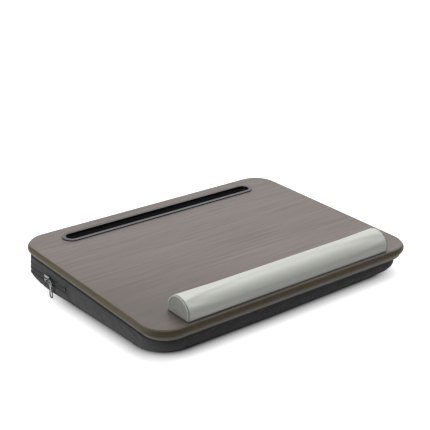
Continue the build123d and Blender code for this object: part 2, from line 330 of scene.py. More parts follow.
def noise(start, where, scale, detail=2.0, roughness=0.5, distortion=0.0):
    """Smooth noise with so many features per metre along each axis."""
    stretched = start.node("Mapping", {"Vector": where, "Scale": scale})
    return start.node("TexNoise", {"Vector": stretched, "Scale": 1.0, "Detail": detail,
                                   "Roughness": roughness, "Distortion": distortion})


def blend(start, share, low, high):
    """The colour between two colours at a share."""
    low, high = (tone if isinstance(tone, Value) else (*tone, 1.0) for tone in (low, high))
    return start.node("Mix", {0: share, 6: low, 7: high}, out=2, data_type="RGBA")


def shade(tone, factor):
    """A colour made darker or lighter by a factor."""
    return tuple(np.minimum(np.array(tone) * factor, 1))


def mottled(start, share, tone, low, high):
    """A colour that varies by a share between two factors of a tone."""
    return blend(start, share, shade(tone, low), shade(tone, high))


def bump(start, height, depth):
    """A bumped normal from a height between 0 and 1 and a real depth."""
    return start.node("Bump", {"Height": height, "Distance": depth, "Strength": 1.0})


def empty_tree(owner):
    """The start of the emptied node tree of a new material or world."""
    owner.use_nodes = True
    owner.node_tree.nodes.clear()
    return Value(owner.node_tree)


def material(name, build):
    """A material from a function that returns the sockets of its principled shader."""
    made = bpy.data.materials.new(name)
    start = empty_tree(made)
    surface = start.node("BsdfPrincipled", build(start))
    start.node("OutputMaterial", {"Surface": surface})
    return made


# Finishes

def wood_print(start):
    """Straight grain along X: slow bands, streaks and fine fibres, each a stretched noise, darkened
    towards the front left by a painted shadow."""
    board = settings().board
    where = coordinate(start, "Object")
    band = noise(start, where, (1.5, 13, 13))
    streak = noise(start, where, (7, 250, 250), detail=4.0, roughness=0.6, distortion=0.15)
    fibre = noise(start, where, (20, 900, 900), detail=3.0, roughness=0.55)
    pore = noise(start, where, (45, 1150, 1150), detail=1.0) > 0.68
    tone = band * 0.18 + streak * 0.5 + fibre * 0.32
    grain = start.node("ValToRGB", {"Fac": tone}, stops=(
        (0.34, board.grain_dark), (0.5, board.grain_middle), (0.66, board.grain_light)))
    # painted shadow: the print is darkened towards the front left
    front_left = (-0.5, -0.85, 0)
    painted_shadow = ramp(start, distance_along(start, where, front_left), board.painted_shadow_start, board.painted_shadow_end)
    grain = blend(start, painted_shadow * 0.7, grain, shade(board.grain_dark, 0.75))
    return {"Base Color": blend(start, pore * 0.3, grain, board.grain_dark),
            "Roughness": 0.43 + fibre * 0.12 - streak * 0.05, "Specular IOR Level": 0.4,
            "Normal": bump(start, fibre - pore * 0.4, 0.05 * MM)}


def band_plastic(start):
    """Brown plastic with faint lines along the band and a slightly uneven gloss. Along the front a painted
    highlight runs along its top edge and painted shade darkens its lower half, and elsewhere painted light
    makes it a little lighter."""
    board = settings().board
    highlight_start, highlight_full = 0.9 * MM, 0.3 * MM
    shade_start, shade_full = 5 * MM, 11 * MM
    front_start, front_full = 60 * MM, 20 * MM
    where = coordinate(start, "Object")
    line = noise(start, where, (7, 7, 620), detail=3.0, roughness=0.6)
    cloud = noise(start, where, (60, 60, 60))
    tone = start.node("ValToRGB", {"Fac": line * 0.7 + cloud * 0.3}, stops=(
        (0.38, board.band_dark), (0.6, board.band)))
    depth = depth_below(start, where, "edge_band")
    behind = component(start, where, 1) - node_points("edge_band")[:, 1].min()
    front = ramp(start, behind, front_start, front_full)
    # painted highlight along the top edge, strongest along the front, and painted light that makes the other
    # sides a little lighter
    edge = ramp(start, depth, highlight_start, highlight_full) * (0.15 + front * 0.45) + (1 - front) * 0.1
    # painted shade on the lower half, mostly along the front
    low = ramp(start, depth, shade_start, shade_full) * (0.1 + front * 0.5)
    tone = blend(start, low, tone, shade(board.band_dark, 0.4))
    return {"Base Color": blend(start, edge, tone, board.band_highlight),
            "Roughness": 0.38 + cloud * 0.14, "Specular IOR Level": 0.2,
            "Normal": bump(start, line, 0.03 * MM)}


def moulded_plastic(tone_name, gloss, shift):
    """Moulded plastic with a fine grain: a maker of the shader for one colour of the board."""
    def build(start):
        tone = getattr(settings().board, tone_name)
        where = coordinate(start, "Object")
        grain = noise(start, where, (1600, 1600, 1600))
        cloud = noise(start, where, (28, 28, 28), detail=3.0)
        return {"Base Color": mottled(start, cloud, tone, 1 - shift, 1 + shift),
                "Roughness": gloss + cloud * 0.12 - 0.06, "Normal": bump(start, grain, 0.02 * MM)}
    return build


def rim_plastic(start):
    """Black plastic whose top face is painted greyer, as painted light falling on it from above."""
    board = settings().board
    lit_start, lit_full = 0.5 * MM, 0.1 * MM
    where = coordinate(start, "Object")
    cloud = noise(start, where, (28, 28, 28), detail=3.0)
    # painted light on the top face of the rim
    face = ramp(start, depth_below(start, where, "slot_bezel"), lit_start, lit_full)
    return {"Base Color": blend(start, face, board.rim, board.rim_lit_top), "Roughness": 0.16 + cloud * 0.12}


def fibreboard(start):
    """Pressed fibre: fine flecks over a plain ground."""
    fleck = noise(start, coordinate(start, "Object"), (420, 420, 900), detail=4.0, roughness=0.7)
    return {"Base Color": mottled(start, fleck, settings().board.core, 0.7, 1.15),
            "Roughness": 0.8, "Normal": bump(start, fleck, 0.08 * MM)}


def leather_cloth(start):
    """Pale leather cloth: small pebbles, faint clouds, end panels darkened by painted shade, and painted
    shade in the seams, at the welt and along the board.
    """
    rest = settings().rest
    where = coordinate(start, "Object")
    pebble = start.node("TexVoronoi", {"Vector": where, "Scale": 820.0, "Smoothness": 0.6},
                        feature="SMOOTH_F1")
    cloud = noise(start, where, (22, 40, 40), detail=3.0)
    painted_shade = mark(start, "seam")
    panel = mark(start, "panel")
    ground = mottled(start, cloud, rest.leather, 0.94, 1.04)
    # painted shade on the end panels
    ground = blend(start, panel, ground, shade(rest.leather, 1 - rest.panel_painted_shade))
    # painted shade in the seams, at the welt and along the board
    return {"Base Color": blend(start, painted_shade, ground, rest.painted_shade),
            "Roughness": 0.46 + cloud * 0.1 + painted_shade * 0.2, "Specular IOR Level": 0.9,
            "Sheen Weight": 0.08, "Sheen Roughness": 0.5,
            "Normal": bump(start, pebble, 0.05 * MM)}


def cover_weave(start):
    """Plain weave on the UV map in metres: yarns over and under, a heather of two tones, with painted shade
    in the pits of the weave and in the marked seams and upper edge.
    """
    look = settings().cushion
    yarns = 1 / look.weave
    where = coordinate(start, "UV")
    across, along = (start.math("SINE", component(start, where, number) * (math.pi * yarns))
                     for number in (0, 1))
    warp_round = start.math("ABSOLUTE", across)
    weft_round = start.math("ABSOLUTE", along)
    warp_over = across * along > 0.0
    warp = warp_round * (weft_round * 0.5 + 0.5)
    weft = weft_round * (warp_round * 0.5 + 0.5)
    height = warp_over * warp + (1 - warp_over) * weft
    warp_yarn = noise(start, where, (yarns, 45, 1))
    weft_yarn = noise(start, where, (45, yarns, 1))
    yarn = warp_over * warp_yarn + (1 - warp_over) * weft_yarn
    cloud = noise(start, where, (14, 30, 1), detail=3.0)
    heather = start.node("ValToRGB", {"Fac": yarn * 0.75 + cloud * 0.25}, stops=(
        (0.36, look.fabric_dark), (0.62, look.fabric)))
    # painted shade in the pits of the weave, in the seams and along the upper edge; the zone round the zip
    # is also darker
    depth = (1 - height) * 0.45 + mark(start, "seam") * 0.5
    return {"Base Color": blend(start, depth, heather, shade(look.fabric_dark, 0.1)),
            "Roughness": 0.82 + cloud * 0.1, "Sheen Weight": 0.06, "Sheen Roughness": 0.45,
            "Normal": bump(start, height, 0.22 * MM)}


def plain_cloth(tone_name, group_name):
    """Thread, tape or fleece, one tone broken by fine fibres: a maker of the shader for one colour of a
    group of settings."""
    def build(start):
        tone = getattr(getattr(settings(), group_name), tone_name)
        fibre = noise(start, coordinate(start, "Object"), (2600, 2600, 2600), detail=3.0)
        return {"Base Color": mottled(start, fibre, tone, 0.65, 1.25),
                "Roughness": 0.75, "Normal": bump(start, fibre, 0.1 * MM)}
    return build


def nylon(start):
    """Dark drawn nylon with a soft shine."""
    cloud = noise(start, coordinate(start, "Object"), (900, 900, 900))
    return {"Base Color": mottled(start, cloud, settings().zip.nylon, 0.8, 1.15),
            "Roughness": 0.34 + cloud * 0.15}


def plated_metal(darkened):
    """Plating with faint smears and small dents, darkened by a share that a function gives for the
    coordinates of the metal."""
    def build(start):
        look = settings().zip
        where = coordinate(start, "Object")
        smear = noise(start, where, (260, 90, 260), detail=3.0, roughness=0.6)
        dent = noise(start, where, (1100, 1100, 1100))
        bright = mottled(start, smear, look.metal, 0.86, 1)
        return {"Base Color": blend(start, darkened(start, where), bright, look.metal_dark),
                "Metallic": 1.0, "Roughness": 0.18 + smear * 0.2, "Normal": bump(start, dent, 0.015 * MM)}
    return build


def pull_tip(start, where):
    """Darkening from the shank of the pull down to its tip."""
    return ramp(start, component(start, where, 2), settings().zip.tip_height, 0.0)


def slider_groove_shade(start, where):
    """Painted shade in the groove along the middle of the slider."""
    middle = node_points("zip_coil_lower")[:, 2].max()
    away = start.math("ABSOLUTE", component(start, where, 2) - middle)
    return 1 - (away > settings().zip.groove_width / 2)


def all_dark(start, where):
    """Darkening all over, with a little wear."""
    return 0.8 + 0.2 * noise(start, where, (300, 300, 300))


# Meshes from arrays

def clustered(start, stop, step, edges=(), reach=2.2 * MM):
    """Positions at about one step, closer together within a reach on both sides of each edge."""
    even = np.linspace(start, stop, max(2, int(round((stop - start) / step)) + 1))
    near = reach * np.array([0.02, 0.08, 0.18, 0.32, 0.55, 1.0])
    offsets = np.concatenate([-near[::-1], near])
    around = (np.asarray(edges, float)[:, None] + offsets).ravel()
    around = around[(around > start) & (around < stop)]
    room = 0.3 * step
    far = np.min(np.abs(even[:, None] - np.append(around, np.inf)), 1) > room
    far[[0, -1]] = True
    return np.unique(np.concatenate([even[far], around]))


def grid_quads(rows, columns):
    """Corner numbers of the quads of a grid whose columns close on themselves."""
    row = np.arange(rows - 1)[:, None]
    column = np.arange(columns)[None, :]
    following = (column + 1) % columns
    return np.stack([row * columns + column, row * columns + following,
                     (row + 1) * columns + following, (row + 1) * columns + column], -1).reshape(-1, 4)


def grid_corners(across, along):
    """UV of the corners of those quads: across has one value for each column and one more, along has
    one for each row."""
    columns, rows = len(across) - 1, len(along)
    column = np.tile(np.arange(columns), rows - 1)
    row = np.repeat(np.arange(rows - 1), columns)
    return np.stack([np.stack([across[column + right], along[row + up]], -1)
                     for right, up in ((0, 0), (1, 0), (1, 1), (0, 1))], 1)


def row_travel(grid):
    """How far each row of a grid lies from the first one, measured down the first column."""
    steps = np.linalg.norm(np.diff(grid[:, 0], axis=0), axis=-1)
    return np.concatenate([[0], np.cumsum(steps)])


def new_mesh(name, points, faces, corners=None, marks=None):
    """An object from points and faces, with UV corners and named values at each point."""
    mesh = bpy.data.meshes.new(name)
    mesh.from_pydata(points.tolist(), [], faces)
    if corners is not None:
        layer = mesh.uv_layers.new(name="cloth")
        layer.data.foreach_set("uv", np.asarray(corners, np.float32).ravel())
    for label, values in (marks or {}).items():
        attribute = mesh.attributes.new(label, "FLOAT", "POINT")
        attribute.data.foreach_set("value", np.asarray(values, np.float32).ravel())
    mesh.polygons.foreach_set("use_smooth", np.ones(len(mesh.polygons), bool))
    mesh.update()
    made = bpy.data.objects.new(name, mesh)
    bpy.context.scene.collection.objects.link(made)
    return made


def closed_grid(name, grid, poles, across, along, **marks):
    """A closed surface: rows of rings between two poles. across and along are the UV of the
    columns, with one more at the end, and of the rows; marks are named values on the grid."""
    rows, columns = grid.shape[:2]
    first, last = rows * columns, rows * columns + 1
    ring = np.arange(columns)
    following = (ring + 1) % columns
    top = (rows - 1) * columns
    fans = np.concatenate([np.stack([following, ring, np.full(columns, first)], -1),
                           np.stack([top + ring, top + following, np.full(columns, last)], -1)])
    points = np.concatenate([grid.reshape(-1, 3), poles])
    flat = np.concatenate([grid_corners(across, along).reshape(-1, 2), points[fans.ravel()][:, :2]])
    marks = {label: np.append(values.ravel(), values[[0, -1], 0]) for label, values in marks.items()}
    return new_mesh(name, points, grid_quads(rows, columns).tolist() + fans.tolist(), flat, marks)


def swept(name, rings, along, around):
    """A closed bar: rings of points one after another, with a flat face at each end. along and around
    are the UV of the rings and of the sides, with one more side at the end."""
    count, sides = rings.shape[:2]
    corners = grid_corners(around, along)[..., ::-1].reshape(-1, 2)
    ends = [list(range(sides))[::-1], list(range((count - 1) * sides, count * sides))]
    capped = np.concatenate([corners, np.zeros((2 * sides, 2))])
    return new_mesh(name, rings.reshape(-1, 3), grid_quads(count, sides).tolist() + ends, capped)


def bars(name, points):
    """Many short closed bars in one mesh: the points are an array by bar, ring, side and axis."""
    count, rings, sides = points.shape[:3]
    ends = np.stack([np.arange(sides)[::-1], (rings - 1) * sides + np.arange(sides)])
    first = (np.arange(count) * rings * sides)[:, None, None]
    quads = (first + grid_quads(rings, sides)).reshape(-1, 4)
    return new_mesh(name, points.reshape(-1, 3), quads.tolist() + (first + ends).reshape(-1, sides).tolist())


def rods(ends_a, ends_b, outward, wire, bulge):
    """Rings of short rods from one set of ends to another: the rod is round, narrows at both
    ends and arches outward by bulge at its middle."""
    sides = 6
    share = np.array([0.0, 0.08, 0.3, 0.7, 0.92, 1.0])
    width = wire / 2 * np.array([0.35, 0.8, 1.0, 1.0, 0.8, 0.35])
    line = ends_b - ends_a
    heading = line / np.linalg.norm(line, axis=-1, keepdims=True)
    side = np.cross(heading, outward)
    arch = bulge * 4 * share * (1 - share)
    middle = ends_a[:, None] + line[:, None] * share[:, None] + outward[:, None] * arch[:, None]
    angle = TURN * np.arange(sides) / sides
    spoke = outward[:, None] * np.cos(angle)[:, None] + side[:, None] * np.sin(angle)[:, None]
    return middle[:, :, None] + spoke[:, None] * width[:, None, None]


def paint(made, finish):
    """Give a new piece its material and its body."""
    made.data.materials.append(finish)
    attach(made, "desk")


def repaint(finish, *nodes):
    """Give nodes of the construction a better material."""
    for name in nodes:
        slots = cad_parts[name].material_slots
        for index in range(len(slots)):
            slots[index].material = finish


# Padding by cloth simulation

def spread(wanted, known, period=None):
    """Weights that carry values from known positions to wanted ones by cubic B-splines. With a period
    the positions go round."""
    count = len(known)
    closing = [known[0] + period] if period else []
    number = np.interp(wanted, np.append(known, closing), np.arange(count + len(closing)))
    gap = np.abs(number[:, None] - np.arange(count))
    if period:
        gap = np.minimum(gap, count - gap)
    weight = np.where(gap < 1, (4 - 6 * gap ** 2 + 3 * gap ** 3) / 6, np.clip(2 - gap, 0, None) ** 3 / 6)
    return weight / weight.sum(1, keepdims=True)


def carried(moved, row_weights, column_weights):
    """The movements of a coarse grid, carried to the rows and columns of a fine one."""
    return np.einsum("ia,jb,abk->ijk", row_weights, column_weights, moved)


def swollen(grid, poles, held, slack, pressure, limit):
    """How far each point of a ring grid moves when the cover is filled: a cloth with some slack is
    blown up from inside for a few steps, held where held is 1, and no point moves past the limit."""
    last_step = 20
    rows, columns = grid.shape[:2]
    cover = closed_grid("swelling", grid, poles, np.zeros(columns + 1), np.zeros(rows))
    group = cover.vertex_groups.new(name="held")
    for strength in np.unique(held):
        chosen = np.flatnonzero(held.ravel() == strength)
        group.add(chosen.tolist(), float(strength), "REPLACE")
    group.add([rows * columns, rows * columns + 1], 1.0, "REPLACE")
    cloth = cover.modifiers.new("cloth", "CLOTH")
    cloth.settings.vertex_group_mass = "held"
    cloth.settings.quality = 6
    cloth.settings.mass = 0.3
    cloth.settings.tension_stiffness = 25
    cloth.settings.compression_stiffness = 25
    cloth.settings.shear_stiffness = 12
    cloth.settings.bending_stiffness = 0.6
    cloth.settings.shrink_min = -slack
    cloth.settings.use_pressure = True
    cloth.settings.uniform_pressure_force = pressure
    cloth.settings.effector_weights.gravity = 0
    cloth.collision_settings.use_collision = False
    scene = bpy.context.scene
    for step in range(1, last_step + 1):
        scene.frame_set(step)
    shaped = cover.evaluated_get(bpy.context.evaluated_depsgraph_get()).data
    moved = np.empty(len(shaped.vertices) * 3, np.float32)
    shaped.vertices.foreach_get("co", moved)
    moved = moved.reshape(-1, 3)[:rows * columns].reshape(rows, columns, 3) - grid
    scene.frame_set(1)
    mesh = cover.data
    bpy.data.objects.remove(cover)
    bpy.data.meshes.remove(mesh)
    far = np.linalg.norm(moved, axis=-1, keepdims=True)
    return moved * limit / np.maximum(far, limit)


# The cushion's plan and side, which the zip shares

class CushionForm:
    """The wedge cushion as formulas. Along the plan, s runs from the middle of the front edge
    anticlockwise; up the side, the profile parameter runs from the middle of the underside (0)
    over its edge (1), the roll (2), the side (3) and the upper edge (4) to the middle of the top (5)."""

    def __init__(self):
        self.look = settings().cushion
        whole = node_points("gusset_lower", "gusset_upper", "zip_coil_lower", "cushion_boxing")
        self.half = whole[:, 0].max()
        self.front = whole[:, 1].min()
        self.rear = whole[:, 1].max()
        self.level = (node_points("cushion_top_panel") @ BOARD_UP).max()
        self.zip_low = node_points("zip_tape_lower")[:, 2].min()
        self.zip_high = node_points("zip_tape_upper")[:, 2].max()
        self.zip_middle = node_points("zip_coil_lower")[:, 2].max()
        self.draw_plan()
        tab = node_points("gusset_tab_right")[:, 1]
        self.tab_start, self.tab_end = self.side_place(tab.min()), self.side_place(tab.max())
        self.tab_top = self.top_height(tab.min()) - self.look.top_roll
        tabs = np.array([self.tab_start, self.tab_end])
        self.tab_edges = np.concatenate([tabs, self.length - tabs])
        self.zip_edges = 2 + self.side_share(np.array([self.zip_low, self.zip_high]))

    def draw_plan(self):
        """The plan: a heading that is steady on the straights and turns evenly at the corners,
        added up into points."""
        samples = 24001
        front_radius, rear_radius = self.look.front_radius, self.look.rear_radius
        side = self.rear - self.front - front_radius - rear_radius
        half_front = self.half - front_radius
        half_rear = self.half - rear_radius
        right = [half_front, QUARTER * front_radius, side, QUARTER * rear_radius, half_rear]
        runs = np.array(right + right[::-1])
        self.knots = np.concatenate([[0], np.cumsum(runs)])
        turns = QUARTER * np.array([0, 0, 1, 1, 2, 2, 2, 3, 3, 4, 4])
        self.corner_x = np.array([0, 1, 1, 1, 1, 0, -1, -1, -1, -1, 0])
        self.corner_y = np.array([-1, -1, -1, 1, 1, 1, 1, 1, -1, -1, -1])
        self.tucks = np.where(self.corner_y < 0, self.look.front_tuck, self.look.rear_tuck)
        self.length = self.knots[-1]
        self.dense = np.linspace(0, self.length, samples)
        self.heading = np.interp(self.dense, self.knots, turns)
        step = self.dense[1]
        middle = (self.heading[1:] + self.heading[:-1]) / 2
        self.x = np.concatenate([[0], np.cumsum(np.cos(middle)) * step])
        self.y = self.front + np.concatenate([[0], np.cumsum(np.sin(middle)) * step])

    def side_place(self, y):
        """The place along the plan where the right side passes a y."""
        return self.knots[2] + y - self.front - self.look.front_radius

    def plan(self, s):
        """Points and outward normals of the plan at places along it."""
        heading = np.interp(s, self.dense, self.heading)
        points = np.stack([np.interp(s, self.dense, line) for line in (self.x, self.y)], -1)
        return points, np.stack([np.sin(heading), -np.cos(heading)], -1)

    def top_height(self, y):
        """The height of the tilted top at a y."""
        return (self.level - BOARD_UP[1] * y) / BOARD_UP[2]

    def corner(self, s):
        """The diagonal of the nearest corner: a plan whose corner radius grows by a length moves by
        that length times the difference between the outward normal and this diagonal."""
        return np.stack([np.interp(s, self.knots, side) for side in (self.corner_x, self.corner_y)], -1)

    def tuck(self, s, height):
        """How far the corners are drawn in at a height: an elliptic curve that grows down to the floor."""
        rise = np.clip(height / self.look.tuck_height, 0, 1)
        growth = np.interp(s, self.knots, self.tucks) * (1 - np.sqrt(1 - (1 - rise) ** 2))
        return (self.plan(s)[1] - self.corner(s)) * growth[..., None]

    def lift(self, s):
        """How far the lower edge is raised, as the filling is thinner there: a bell along the plan
        about the front right corner."""
        corner = (self.knots[1] + self.knots[2]) / 2
        return self.look.corner_lift * np.exp(-((s - corner) / self.look.lift_reach) ** 2)

    def tab_gap(self, s):
        """Distance along the plan to the nearest edge of a tab."""
        return np.min(np.abs(s[:, None] - self.tab_edges), 1)

    def in_zip(self, s):
        """1 between the two tabs round the rear, else 0."""
        return ((s > self.tab_end) & (s < self.length - self.tab_end)).astype(float)

    def side_height(self, share, s):
        """Heights up the side: level up to a little above the zip, then stretched to the tilted top; in
        front of the tabs every height shrinks with the wedge."""
        room = 2 * MM
        roll = self.look.roll_height
        top = self.top_height(self.plan(s)[0][:, 1]) - self.look.top_roll
        reference = (roll + share * (self.tab_top - roll))[:, None]
        knee = self.zip_high + room
        behind = np.where(reference < knee, reference,
                          knee + (reference - knee) * (top - knee) / (self.tab_top - knee))
        before = roll + (reference - roll) * (top - roll) / (self.tab_top - roll)
        return np.where(top > self.tab_top, behind, before)

    def side_share(self, height):
        """The share up the side at which a height lies beside the zip."""
        return (height - self.look.roll_height) / (self.tab_top - self.look.roll_height)

    def lean(self, share):
        """How far the side leans in at a share of its height."""
        return self.look.top_draw * share ** 2

    def grid(self, profile, s):
        """Points for profile parameters and places along the plan. The outer share of the underside
        rises with the lower edge where that is raised."""
        outer_share = 0.3
        look = self.look
        points, normals = self.plan(s)
        top = self.top_height(points[:, 1])[None, :]
        under = np.clip(profile, 0, 1)[:, None]
        roll = QUARTER * np.clip(profile - 1, 0, 1)[:, None]
        share = np.clip(profile - 2, 0, 1)
        upper = QUARTER * np.clip(profile - 3, 0, 1)[:, None]
        over = 1 - np.clip(profile - 4, 0, 1)[:, None]
        inset = look.roll_inset * (1 - np.sin(roll)) + self.lean(share)[:, None]
        inset = inset + look.top_roll * (1 - np.cos(upper)) + np.zeros(len(s))
        raised = self.lift(s) * np.clip(1 - (1 - under) / outer_share, 0, 1) ** 2
        rolled = look.roll_height + (raised - look.roll_height) * np.cos(roll)
        height = np.where(profile[:, None] < 2, rolled, self.side_height(share, s))
        height = np.where(profile[:, None] > 3, top - look.top_roll * (1 - np.sin(upper)), height)
        ring = points[None] - normals[None] * inset[..., None] + self.tuck(s, height)
        middle = np.array([0, (self.front + self.rear) / 2])
        ring = middle + (ring - middle) * (under * over)[..., None]
        plane = self.top_height(ring[..., 1])
        height = np.where(profile[:, None] >= 4, plane, height)
        return np.concatenate([ring, height[..., None]], -1)

    def poles(self):
        """The middle of the underside and the middle of the top."""
        middle = (self.front + self.rear) / 2
        return np.array([[0, middle, 0], [0, middle, self.top_height(middle)]])

    def skin(self, s, height, inset):
        """Points on the side at a height, drawn in from the cloth's outer face by inset."""
        points, normals = self.plan(s)
        height = np.broadcast_to(height, s.shape)
        points = points - normals * np.asarray(inset)[..., None] + self.tuck(s, height)
        return np.concatenate([points, height[..., None]], -1)

    def outward(self, s):
        """Outward directions of the upright side."""
        return np.concatenate([self.plan(s)[1], np.zeros((len(s), 1))], -1)


# The wrist rest's section and ends

class RestForm:
    """The wrist rest as formulas: a padded D across the rest, carried along X between two ends."""

    def __init__(self):
        self.look = settings().rest
        tolerance, centre_share = 0.05 * MM, 0.42
        points = node_points("wrist_rest_cover", "wrist_rest_end_left", "wrist_rest_end_right")
        rear, up = points @ BOARD_REAR, points @ BOARD_UP
        self.end = points[:, 0].max()
        self.seam = self.end - self.look.seam_inset
        self.middle = (rear.max() + rear.min()) / 2
        self.floor = up.min()
        self.half = (rear.max() - rear.min()) / 2
        self.height = up.max() - self.floor
        self.centre = centre_share * self.height
        self.front_side, self.rear_side = (up[np.isclose(rear, side, atol=tolerance)].max() - self.floor
                                           for side in (rear.min(), rear.max()))
        panel = node_points("wrist_rest_end_left")
        arc = panel @ BOARD_REAR - self.middle + 1j * (panel @ BOARD_UP - self.floor)
        arc = arc[arc.imag > max(self.front_side, self.rear_side)]
        system = np.stack([arc.real, arc.imag, np.ones(len(arc))], -1)
        found = np.linalg.lstsq(system, -np.abs(arc) ** 2, rcond=None)[0]
        self.arc_centre = -(found[0] + 1j * found[1]) / 2

    def section(self, count):
        """The D as points across and up, their outward normals and the length round it: two upright
        sides, one arc over the top and a flat underside, with every corner blurred along the outline."""
        arc_samples, samples = 400, 2880
        shoulders = np.array([-self.half + 1j * self.front_side, self.half + 1j * self.rear_side])
        spokes = shoulders - self.arc_centre
        first, last = np.angle(spokes / 1j)
        angles = np.linspace(first, last, arc_samples) + QUARTER
        arc = self.arc_centre + np.abs(spokes).mean() * np.exp(1j * angles)
        corners = np.concatenate([[0, -self.half], arc, [self.half, 0]])
        travel = np.concatenate([[0], np.cumsum(np.abs(np.diff(corners)))])
        dense = np.linspace(0, travel[-1], samples + 1)[:-1]
        line = np.interp(dense, travel, corners.real) + 1j * np.interp(dense, travel, corners.imag)
        wave = TURN * np.fft.fftfreq(samples, travel[-1] / samples)
        line = np.fft.ifft(np.fft.fft(line) * np.exp(-(wave * self.look.softness) ** 2 / 2))
        normal = 1j * (np.roll(line, -1) - np.roll(line, 1))
        normal = normal / np.abs(normal)
        line = line - normal * self.look.start_inset
        chosen = (np.arange(count) * samples / count).astype(int)
        return line[chosen], normal[chosen], travel[-1]

    def grid(self, rows, count):
        """Points for rows (x, inset, scale) and so many columns round the section."""
        room = 0.1 * MM
        line, normal, _ = self.section(count)
        x, inset, scale = rows.T[:, :, None]
        centre = 1j * self.centre
        ring = centre + (line - normal * inset - centre) * scale
        height = np.maximum(ring.imag, room)
        return (SIDEWAYS * x[..., None] + BOARD_REAR * (self.middle + ring.real)[..., None]
                + BOARD_UP * (self.floor + height)[..., None])

    def rows(self, step, rings, welt_rings=0):
        """Rows from the middle of the left end over its edge and along X to the right end, closer
        together at the welt and at the seams."""
        welt_reach, seam_reach = 0.05, 2 * MM
        look = self.look
        at_welt = look.welt_share + np.linspace(-welt_reach, welt_reach, welt_rings)
        scale = np.unique(np.concatenate([np.linspace(0, 1, rings + 1)[1:], at_welt]))
        welt = np.clip((scale - look.welt_share) / (1 - look.welt_share), 0, 1)
        dome = np.clip(1 - (scale / look.welt_share) ** 2, 0, 1)
        out = look.end_swell * dome + look.welt_swell * np.sin(math.pi * welt)
        angle = np.linspace(0, QUARTER, max(3, rings // 2))[1:]
        straight = self.end - look.end_roll
        run = clustered(-straight, straight, step, (-self.seam, self.seam), seam_reach)[1:-1]
        cap = np.stack([-self.end - out, np.full(len(scale), look.end_roll), scale], -1)
        edge = np.stack([-self.end + look.end_roll * (1 - np.cos(angle)),
                         look.end_roll * (1 - np.sin(angle)), np.ones(len(angle))], -1)
        left = np.concatenate([cap, edge])
        along = np.stack([run, np.zeros(len(run)), np.ones(len(run))], -1)
        return np.concatenate([left, along, left[::-1] * np.array([-1, 1, 1])])

    def poles(self):
        """The middles of the two ends."""
        middle = BOARD_REAR * self.middle + BOARD_UP * (self.floor + self.centre)
        reach = self.end + self.look.end_swell
        return np.stack([middle - SIDEWAYS * reach, middle + SIDEWAYS * reach])


# Operators

class LAPDESK_OT_board(bpy.types.Operator):
    """Finish the board: wood print, edge band, base panel, core and fastening strips"""
    bl_idname = "lapdesk.board"
    bl_label = "Board"

    def execute(self, context):
        repaint(material("wood_print", wood_print), "top_laminate")
        repaint(material("band_plastic", band_plastic), "edge_band")
        repaint(material("base_plastic", moulded_plastic("base", gloss=0.42, shift=0.06)), "base_panel")
        repaint(material("fibreboard", fibreboard), "board_core")
        repaint(material("hook_and_loop", plain_cloth("tape", "zip")), "hook_strips", "loop_strips")
        return {"FINISHED"}


class LAPDESK_OT_device_slot(bpy.types.Operator):
    """Finish the device slot: glossy rim and matt trough"""
    bl_idname = "lapdesk.device_slot"
    bl_label = "Device slot"

    def execute(self, context):
        repaint(material("rim_plastic", rim_plastic), "slot_bezel")
        repaint(material("liner_plastic", moulded_plastic("liner", gloss=0.6, shift=0.1)), "slot_liner")
        return {"FINISHED"}


